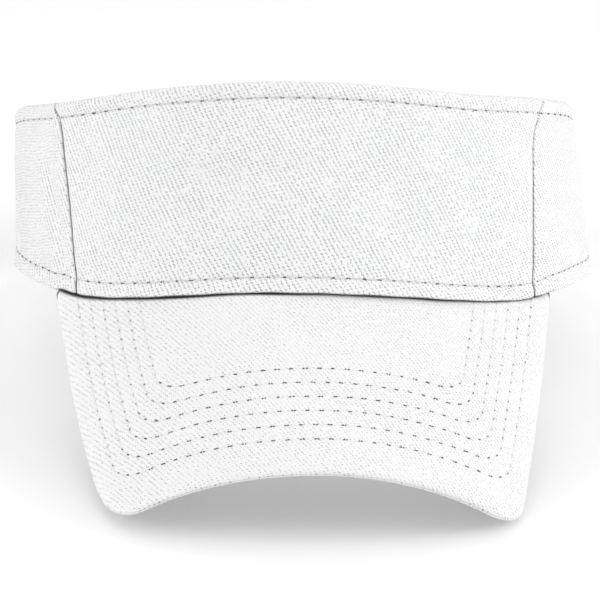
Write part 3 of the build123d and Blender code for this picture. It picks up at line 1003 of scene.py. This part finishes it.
def past_band(points):
    """Distance inwards from the band's smooth outer surface, negative outside it."""
    x, y, w = np.moveaxis(points, -1, 0)
    reach = np.hypot(x / (HALF_WIDTH - SIDE_LEAN * w), y / (FRONT_REACH - FRONT_LEAN * w))
    return MEAN_RADIUS * (1 - reach)


def brim_relief(x, ahead):
    """Quilted relief of the brim's twill: a channel at each stitch row."""
    shape = np.zeros(np.shape(x))
    turn = np.arctan2(x, 40 + ahead)
    for row in range(ROW_COUNT):
        gap = row_distance(x, ahead, row)
        pull = 0.7 + 0.3 * np.sin(2 * np.pi * turn * 80 / BRIM_PITCH)
        shape -= 0.26 * bump_at(gap, 0, 0.55) * pull + 0.10 * bump_at(gap, 0, 1.8)
    shape *= 1 - smooth(past_band(brim_point(x, ahead, 0.0)), -3.5, -0.8)
    shape += 0.05 * np.sin(x / 6.0 + ahead / 9.0) + 0.04 * np.sin(x / 3.7 - ahead / 5.2)
    return shape


def row_boldness(row, _, ahead):
    """Stitches show best along the front and least up the sides: this scales how much of each stitch's
    ends is painted with needle-hole shade.
    """
    return 0.76 + 0.24 * smooth(ahead, row_line(row) - 7, row_line(row) - 1)


def brim_side(facing):
    """Brim surface function of x and distance ahead, for stitches: 1 is the top, -1 the underside."""
    depth = 0.0 if facing > 0 else BRIM_THICKNESS

    def surface(x, ahead):
        return brim_point(x, ahead, depth - facing * brim_relief(x, ahead))
    return surface


def brim_patch(inset, face_depth, across=281, along=151):
    """Grid of brim coordinates inside the outline, and its edge: indices and outward normals."""
    side, side_normal, front, front_normal = brim_half_outline(inset)
    side, side_normal = resample(side, side_normal, along)
    front, front_normal = resample(front, front_normal, across // 2 + 1)
    front = np.concatenate([front * (-1, 1), front[-2::-1]])
    front_normal = np.concatenate([front_normal * (-1, 1), front_normal[-2::-1]])
    back_x = np.linspace(-side[0, 0], side[0, 0], across)
    back = np.stack([back_x, brim_back(back_x, face_depth)], -1)
    side[0, 1] = back[-1, 1]
    u = np.linspace(0, 1, across)[:, None, None]
    v = np.linspace(0, 1, along)[None, :, None]
    left, right = (side * (-1, 1))[None], side[None]
    patch = (1 - v) * back[:, None] + v * front[:, None] + (1 - u) * left + u * right
    patch -= ((1 - u) * (1 - v) * left[:, :1] + u * (1 - v) * right[:, :1]
              + (1 - u) * v * left[:, -1:] + u * v * right[:, -1:])
    index = np.arange(across * along).reshape(across, along)
    loop = np.concatenate([index[0, :-1], index[:, -1], index[-1, -2::-1]])
    normals = np.concatenate([(side_normal * (-1, 1))[:-1], front_normal, side_normal[-2::-1]])
    return patch, loop, normals


def brim_cover(facing):
    """One cover of the brim: a fine sheet with its edge turned round the board, and painted shade values
    for it.
    """
    face_depth = 0.0 if facing > 0 else BRIM_THICKNESS
    patch, loop, normals = brim_patch(EDGE_ROUND, face_depth)
    across, along = patch.shape[:2]
    loop_points = patch.reshape(-1, 2)[loop]
    turns = np.radians(np.linspace(0, 86, 9))[1:]
    layers = []
    for thickness in (0.0, BRIM_COVER):
        reach = EDGE_ROUND - thickness
        relief = brim_relief(patch[..., 0], patch[..., 1]) * (thickness == 0)
        grid = brim_point(patch[..., 0], patch[..., 1], face_depth + facing * (thickness - relief))
        rows = [grid.reshape(-1, 3)]
        for turn in turns:
            out = loop_points + normals * reach * np.sin(turn)
            deep = thickness + reach * (1 - np.cos(turn))
            rows.append(brim_point(out[:, 0], out[:, 1], face_depth + facing * deep))
        layers.append(np.concatenate(rows))
    faces = [grid_faces(across, along)]
    previous = loop
    for k in range(len(turns)):
        following = across * along + k * len(loop) + np.arange(len(loop))
        faces.append(np.stack([previous[:-1], previous[1:], following[1:], following[:-1]], -1)[:, ::-1])
        previous = following
    rim = [loop_points + normals * EDGE_ROUND * turn for turn in turns]
    flat = np.concatenate([patch.reshape(-1, 2)] + rim)
    vertices, faces = close_shell(layers[0], layers[1], np.concatenate(faces))
    # Painted shade on the top cover's outer face, in a strip under the crown's lower edge.
    inside = past_band(vertices)
    shade = smooth(inside, -0.15, 0.35) * (1 - smooth(inside, 1.2, 1.9)) * (facing > 0)
    shade[len(vertices) // 2:] = 0
    return vertices, faces, np.concatenate([flat * (1, -1)] * 2), shade


def make_board():
    """Stiff board between the two covers."""
    patch, _, _ = brim_patch(1.9, BRIM_COVER, 121, 61)
    patch[..., 1] += 3.0 * (1 - np.linspace(0, 1, 61)) ** 2
    grids = [brim_point(patch[..., 0], patch[..., 1], depth) for depth in (BRIM_COVER + 0.04, 2.36)]
    add_piece("brim_board_sheet", closed_sheet(*grids, patch), board_sheet, "crown", "board", "brim_board")


def make_brim():
    for name, facing in (("brim_top_cover", 1), ("brim_under_cover", -1)):
        add_piece(name + "_cloth", brim_cover(facing), brim_twill, "crown", "brim_twill", name)
    for name, facing in (("brim_stitches_top", 1), ("brim_stitches_under", -1)):
        rows = [stitch_mesh(brim_side(facing), row_path(k), BRIM_PITCH, radius=0.2, facing=facing,
                            contrast=partial(row_boldness, k)) for k in range(ROW_COUNT)]
        stitching(name, rows, "crown", "brim_twill", brim_thread)


def edge_path(height, first, last, shift):
    """Path along a band edge, `shift` away from it."""
    angles = np.linspace(first, last, 500)
    return np.stack([angles, height(angles) + shift], -1)


def make_band_stitches():
    for name, height, shift, spans in (
            ("top_hem_stitches", top, -HEM_ROW, ((-128.5, -57.8), (-56.2, 55.6), (57.2, 128.5))),
            ("lower_edge_stitches", bottom, FOOT_ROW, ((-128.5, -50.6), (-48.2, 47.8), (50.2, 128.5)))):
        rows = [stitch_mesh(outside, edge_path(height, *span, shift), BAND_PITCH) for span in spans]
        stitching(name, rows, "crown", "twill")


# ---- closure ------------------------------------------------------------------------------

# Angles from the back centre, negative on the left
STEP_ANGLES = (-49.5, -44.5)
LOOP_STRAP_ANGLES, LOOP_TAPE_ANGLES = (-62, 17), (-43.5, 14)
STRAP_ANGLES, HOOK_TAPE_ANGLES, HOOK_ANGLES = (-28, 66), (-26, -4.2), (-25.2, -4.6)
PEEL_START, PEEL_END = 2.0, -4.0      # angles where the tab's peel would start and end
LOOP_BASE, HOOK_BASE = 3.22, 2.03     # depths where the loops and the hooks are rooted
ROW_INSET = 1.8                       # from a strap's edge to its stitches


def step_in(back_angle, depth):
    """The loop strap steps inwards behind the left arm's end."""
    return depth + smooth(back_angle, *STEP_ANGLES) * (LOOP_STRAP_DEPTH[0] - STRAP_DEPTH[0])


def strap_sheet(angles, heights, depths, rounded, groove=0.0, stepped=False):
    """Strap round the rear between two angles from the back centre, with rounded ends."""
    length, tall = (angles[1] - angles[0]) * REAR_ARC, heights[1] - heights[0]
    share, rise = np.meshgrid(edge_spaced(1.0, 7, 0.22, length),
                              edge_spaced(0.7, 2.2, 0.16, tall), indexing="ij")
    angle = angles[0] + (angles[1] - angles[0]) * share
    cut = corner_cut(share * length, rounded[0]) + corner_cut((1 - share) * length, rounded[1])
    w = heights[0] + cut + (tall - 2 * cut) * rise
    gap = np.minimum(np.minimum(share, 1 - share) * length,
                     np.minimum(w - heights[0] - cut, heights[1] - cut - w))
    plump = 0.3 + 0.7 * np.sqrt(1 - (1 - np.clip(gap / 0.45, 0, 1)) ** 2)
    half = (depths[1] - depths[0]) / 2 * plump
    dip = groove * bump_at(gap, ROW_INSET, 0.4)
    mid = (depths[0] + depths[1]) / 2
    mid = step_in(angle, mid) if stepped else mid
    sides = [rear_point(angle, w, depth) for depth in (mid - half + dip, mid + half - dip)]
    return closed_sheet(*sides, np.stack([angle * REAR_ARC, w], -1))


def little_arches(places, root, sign, lift, spread, radius):
    """Small threads or hooks standing on a tape at a depth: each an arch between two feet."""
    rings, sides = 6, 4
    turn = np.linspace(0, np.pi, rings)
    around = np.linspace(0, 2 * np.pi, sides, endpoint=False)[None, :, None]
    vertices = []
    for angle, w, lean, tall in places:
        along = angle + np.cos(lean) * spread * np.cos(turn) / REAR_ARC
        height = w + np.sin(lean) * spread * np.cos(turn)
        spine = rear_point(along, height, root + sign * (tall * lift * np.sin(turn)))
        tangent = unit(np.gradient(spine, axis=0))
        aside = unit(np.cross(tangent, [0.3, 0.2, 1.0]))
        other = np.cross(tangent, aside)
        ring = np.cos(around) * aside[:, None] + np.sin(around) * other[:, None]
        vertices.append((spine[:, None] + ring * radius).reshape(-1, 3))
    vertices = np.concatenate(vertices)
    return vertices, tube_faces(len(places), rings, sides), vertices[:, [0, 2]]


def tape_places(angles, pitch, seed, lean_spread):
    """Angle, height, lean and size of each thread or hook, in staggered rows along a tape."""
    jitter, places = np.random.default_rng(seed), []
    for i, w in enumerate(np.arange(TAPE_HEIGHTS[0] + 1.3, TAPE_HEIGHTS[1] - 1.0, pitch)):
        begin = angles[0] * REAR_ARC + 1.4 + (i % 2) * pitch / 2
        for s in np.arange(begin, angles[1] * REAR_ARC - 1.2, pitch):
            aside, up = jitter.normal(0, 0.08 * pitch, 2)
            lean, size = jitter.normal(0, lean_spread), jitter.uniform(0.8, 1)
            places.append(((s + aside) / REAR_ARC, w + up, lean, size))
    return places


def add_arches(name, arches, material, body, slot):
    make_piece(name, *arches[:2], material, body, slot, arches[2], 180)


def make_loop_side():
    band = strap_sheet(LOOP_STRAP_ANGLES, LOOP_STRAP_HEIGHTS, STRAP_DEPTH, (0.01, 6.0), 0.06, True)
    add_piece("loop_strap_cloth", band, strap_twill, "crown", "twill", "loop_strap")
    tape = strap_sheet(LOOP_TAPE_ANGLES, TAPE_HEIGHTS, (3.2, 3.6), (0.6, 0.6))
    add_piece("loop_tape_base", tape, tape_weave, "crown", "loop", "loop_tape")
    loops = little_arches(tape_places(LOOP_TAPE_ANGLES, 1.25, 5, 1.2), LOOP_BASE, -1, 0.36, 0.42, 0.085)
    add_arches("loop_pile_threads", loops, loop_pile, "crown", "loop")


def make_hook_side():
    strap = strap_sheet(STRAP_ANGLES, STRAP_HEIGHTS, STRAP_DEPTH, (6.0, 0.8), 0.06)
    strap = make_piece("closure_strap_cloth", strap[0], strap[1], strap_twill, None, "twill", strap[2])
    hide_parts("closure_strap", "strap_tab")
    start, end = [to_row(rear_point(angle, 15.0, 1.3)) for angle in (PEEL_START, PEEL_END)]
    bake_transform(strap)
    hook = strap_sheet(HOOK_TAPE_ANGLES, TAPE_HEIGHTS, (1.7, 2.05), (3.0, 0.6))
    add_piece("hook_tape_base", hook, hook_plastic, "tab", "hook", "hook_tape")
    hooks = little_arches(tape_places(HOOK_ANGLES, 1.5, 9, 0.15), HOOK_BASE, 1, 0.40, 0.32, 0.10)
    add_arches("hook_tape_hooks", hooks, hook_plastic, "tab", "hook")


def make_closure_stitches():
    def strap_face(angle, w):
        return rear_point(angle, w, STRAP_DEPTH[0])

    def loop_face(angle, w):
        return rear_point(angle, w, step_in(angle, STRAP_DEPTH[0]))

    def row(face, *path):
        # The rear's angle runs the other way round, so its surfaces face inwards: facing is -1.
        return stitch_mesh(face, path, pitch=3.2, radius=0.16, sunk=0.2, proud=0.02, facing=-1)
    strap_rows, tab_rows, loop_rows = [], [], []
    for w in (STRAP_HEIGHTS[0] + ROW_INSET, STRAP_HEIGHTS[1] - ROW_INSET):
        strap_rows.append(row(strap_face, (3.0, w), (49, w)))
        tab_rows.append(row(strap_face, (-22, w), (-5.0, w)))
    for w in (LOOP_STRAP_HEIGHTS[0] + ROW_INSET, LOOP_STRAP_HEIGHTS[1] - ROW_INSET):
        loop_rows.append(row(loop_face, (-43, w), (12, w)))
    tab_rows.append(row(strap_face, (-26.8, 9), (-26.8, 22)))
    stitching("closure_strap_stitches", strap_rows, "strap", "twill")
    stitching("tab_stitches", tab_rows, "tab", "twill")
    stitching("loop_strap_stitches", loop_rows, "crown", "twill")


# ---- floor, lights and camera -------------------------------------------------------------

def make_stage():
    size = 3.0
    corners = [(x * size, y * size, 0) for x, y in ((-1, -1), (1, -1), (1, 1), (-1, 1))]
    mesh = bpy.data.meshes.new("floor")
    mesh.from_pydata(corners, [], [(0, 1, 2, 3)])
    floor = add_object("floor", mesh)
    paper = bpy.data.materials.new("floor_paper")
    paper.use_nodes = True
    shader = paper.node_tree.nodes["Principled BSDF"]
    shader.inputs["Base Color"].default_value = (0.97, 0.97, 0.97, 1)
    shader.inputs["Roughness"].default_value = 0.9
    mesh.materials.append(paper)


def make_lights():
    world = bpy.data.worlds.new("studio")
    bpy.context.scene.world = world
    world.use_nodes = True
    background = world.node_tree.nodes["Background"]
    background.inputs["Color"].default_value = (1, 1, 1, 1)
    background.inputs["Strength"].default_value = 0.58
    boxes = (("overhead_softbox", (0.0, 0.3, 1.8), 2.4, 11.0),
             ("left_softbox", (-1.5, -0.4, 0.7), 0.9, 9.0),
             ("right_softbox", (1.5, -0.3, 0.7), 0.9, 12.0),
             ("front_softbox", (0.2, -1.6, 0.35), 0.8, 2.4))
    for name, place, size, power in boxes:
        lamp = bpy.data.lights.new(name, "AREA")
        lamp.size, lamp.energy = size, power
        light = add_object(name, lamp)
        light.location = place
        light.rotation_mode = "QUATERNION"
        light.rotation_quaternion = (Vector((0, 0, 0.05)) - Vector(place)).to_track_quat("-Z", "Y")
    bpy.context.scene.view_settings.view_transform = "Standard"


def make_camera():
    """Camera at the height, turn and distance that the visor is seen from. It stands on a line
    through the target, and aims a little to the right of it and below it."""
    raised, turned, rolled = np.radians(6.0), np.radians(2.1), np.radians(-0.32)
    distance, lens, sensor = 1000.0, 188.58, 36.0
    target, aim_right, aim_down = np.array([0, 0, 20.0]), 0.85, 32.13
    forward = np.array([np.cos(raised) * np.sin(turned), np.cos(raised) * np.cos(turned),
                        -np.sin(raised)])
    right = np.array([np.cos(turned), -np.sin(turned), 0])
    up = np.cross(right, forward)
    place = target - distance * forward
    aim = unit(target + right * aim_right - up * aim_down - place)
    tilted_up = np.sin(rolled) * right + np.cos(rolled) * up
    across = unit(np.cross(aim, tilted_up))
    axes = np.array([across, np.cross(across, aim), -aim]) @ CROWN_AXES
    data = bpy.data.cameras.new("camera")
    data.sensor_width, data.lens = sensor, lens
    data.clip_end = 20
    camera = add_object("camera", data)
    matrix = Matrix(axes.T.tolist()).to_4x4()
    matrix.translation = to_row(place).tolist()
    camera.matrix_world = matrix
    bpy.context.scene.camera = camera


make_outer_cloth()
make_inner_layers()
make_sweatband()
make_brim()
make_board()
make_band_stitches()
make_loop_side()
make_hook_side()
make_closure_stitches()
make_stage()
make_lights()
make_camera()
